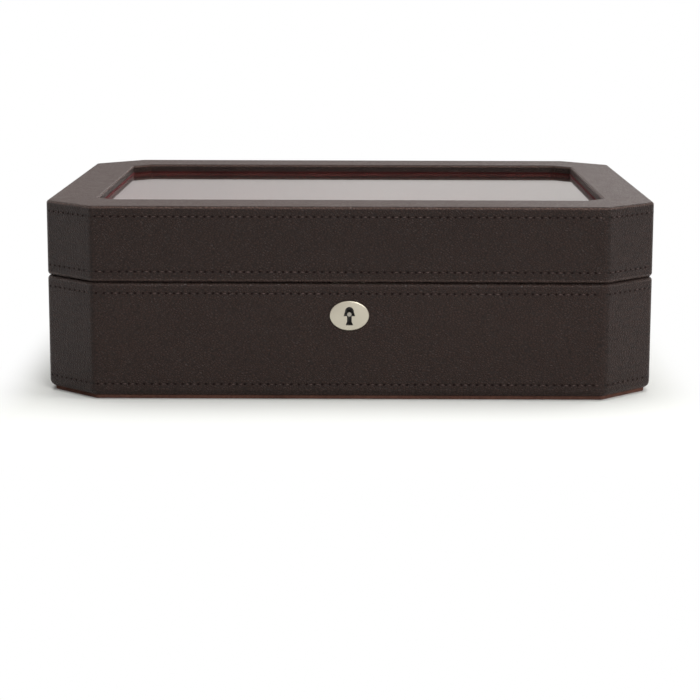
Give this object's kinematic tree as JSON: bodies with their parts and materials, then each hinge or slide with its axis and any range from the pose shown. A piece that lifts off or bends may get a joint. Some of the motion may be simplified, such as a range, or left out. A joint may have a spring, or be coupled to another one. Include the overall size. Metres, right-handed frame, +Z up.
{
  "type": "watch box",
  "caption": "leather-covered watch box with cut corners, a glazed hinged lid, a key lock in the front and lined compartments with removable watch cushions",
  "frame": {"origin": "middle of the whole box, hinges and escutcheon included, on the plane it rests on", "axes": "+X to the right along the lock side, +Y towards the hinges, +Z up"},
  "size_m": [0.27, 0.2302, 0.0856],
  "materials": {
    "cover_leather": "pebbled",
    "lining_velvet": "velvet",
    "cushion_velvet": "velvet",
    "carcass_board": "plain fibreboard",
    "window_glass": "polished",
    "satin_nickel": "satin",
    "lock_steel": "plain"
  },
  "bodies": {
    "base": {"base_front_wall": "carcass_board", "base_front_right_corner": "carcass_board", "base_right_wall": "carcass_board", "base_back_right_corner": "carcass_board", "base_back_wall": "carcass_board", "base_back_left_corner": "carcass_board", "base_left_wall": "carcass_board", "base_front_left_corner": "carcass_board", "base_panel": "carcass_board", "base_leather": "cover_leather", "base_pad": "lining_velvet", "base_floor_lining": "lining_velvet", "base_wall_lining": "lining_velvet", "long_divider": "lining_velvet", "cross_divider_1": "lining_velvet", "cross_divider_2": "lining_velvet", "cross_divider_3": "lining_velvet", "hinge_left_base_leaf": "satin_nickel", "hinge_left_pin": "satin_nickel", "hinge_right_base_leaf": "satin_nickel", "hinge_right_pin": "satin_nickel", "hinge_base_screws": "satin_nickel", "escutcheon": "satin_nickel", "lock_face": "satin_nickel", "lock_screws": "satin_nickel", "lock_post": "satin_nickel", "lock_case": "lock_steel", "lock_cap": "lock_steel", "lock_spring": "lock_steel"},
    "lid": {"lid_front_wall": "carcass_board", "lid_front_right_corner": "carcass_board", "lid_right_wall": "carcass_board", "lid_back_right_corner": "carcass_board", "lid_back_wall": "carcass_board", "lid_back_left_corner": "carcass_board", "lid_left_wall": "carcass_board", "lid_front_left_corner": "carcass_board", "lid_top_panel": "carcass_board", "lid_leather": "cover_leather", "lid_wall_lining": "lining_velvet", "window_seat_strip": "lining_velvet", "glass_pane": "window_glass", "glass_retainer": "lining_velvet", "hinge_left_lid_leaf": "satin_nickel", "hinge_right_lid_leaf": "satin_nickel", "hinge_lid_screws": "satin_nickel", "strike_plate": "satin_nickel", "strike_screws": "satin_nickel"},
    "bolt": {"lock_bolt": "lock_steel"},
    "cushion_1": {"watch_cushion_1": "cushion_velvet"},
    "cushion_2": {"watch_cushion_2": "cushion_velvet"},
    "cushion_3": {"watch_cushion_3": "cushion_velvet"},
    "cushion_4": {"watch_cushion_4": "cushion_velvet"},
    "cushion_5": {"watch_cushion_5": "cushion_velvet"},
    "cushion_6": {"watch_cushion_6": "cushion_velvet"},
    "cushion_7": {"watch_cushion_7": "cushion_velvet"},
    "cushion_8": {"watch_cushion_8": "cushion_velvet"}
  },
  "joints": [
    {"name": "lid_hinge", "type": "hinge", "parent": "base", "child": "lid", "pos_m": [0, 0.11235, 0.0521], "axis": [-1, 0, 0], "range_deg": [0, 95]},
    {"name": "bolt_slide", "type": "slide", "parent": "base", "child": "bolt", "axis": [1, 0, 0], "range_m": [0, 0.0035]},
    {"name": "cushion_1_lift", "type": "slide", "parent": "base", "child": "cushion_1", "axis": [0, 0, 1], "range_m": [0, 0.025]},
    {"name": "cushion_2_lift", "type": "slide", "parent": "base", "child": "cushion_2", "axis": [0, 0, 1], "range_m": [0, 0.025]},
    {"name": "cushion_3_lift", "type": "slide", "parent": "base", "child": "cushion_3", "axis": [0, 0, 1], "range_m": [0, 0.025]},
    {"name": "cushion_4_lift", "type": "slide", "parent": "base", "child": "cushion_4", "axis": [0, 0, 1], "range_m": [0, 0.025]},
    {"name": "cushion_5_lift", "type": "slide", "parent": "base", "child": "cushion_5", "axis": [0, 0, 1], "range_m": [0, 0.025]},
    {"name": "cushion_6_lift", "type": "slide", "parent": "base", "child": "cushion_6", "axis": [0, 0, 1], "range_m": [0, 0.025]},
    {"name": "cushion_7_lift", "type": "slide", "parent": "base", "child": "cushion_7", "axis": [0, 0, 1], "range_m": [0, 0.025]},
    {"name": "cushion_8_lift", "type": "slide", "parent": "base", "child": "cushion_8", "axis": [0, 0, 1], "range_m": [0, 0.025]}
  ]
}
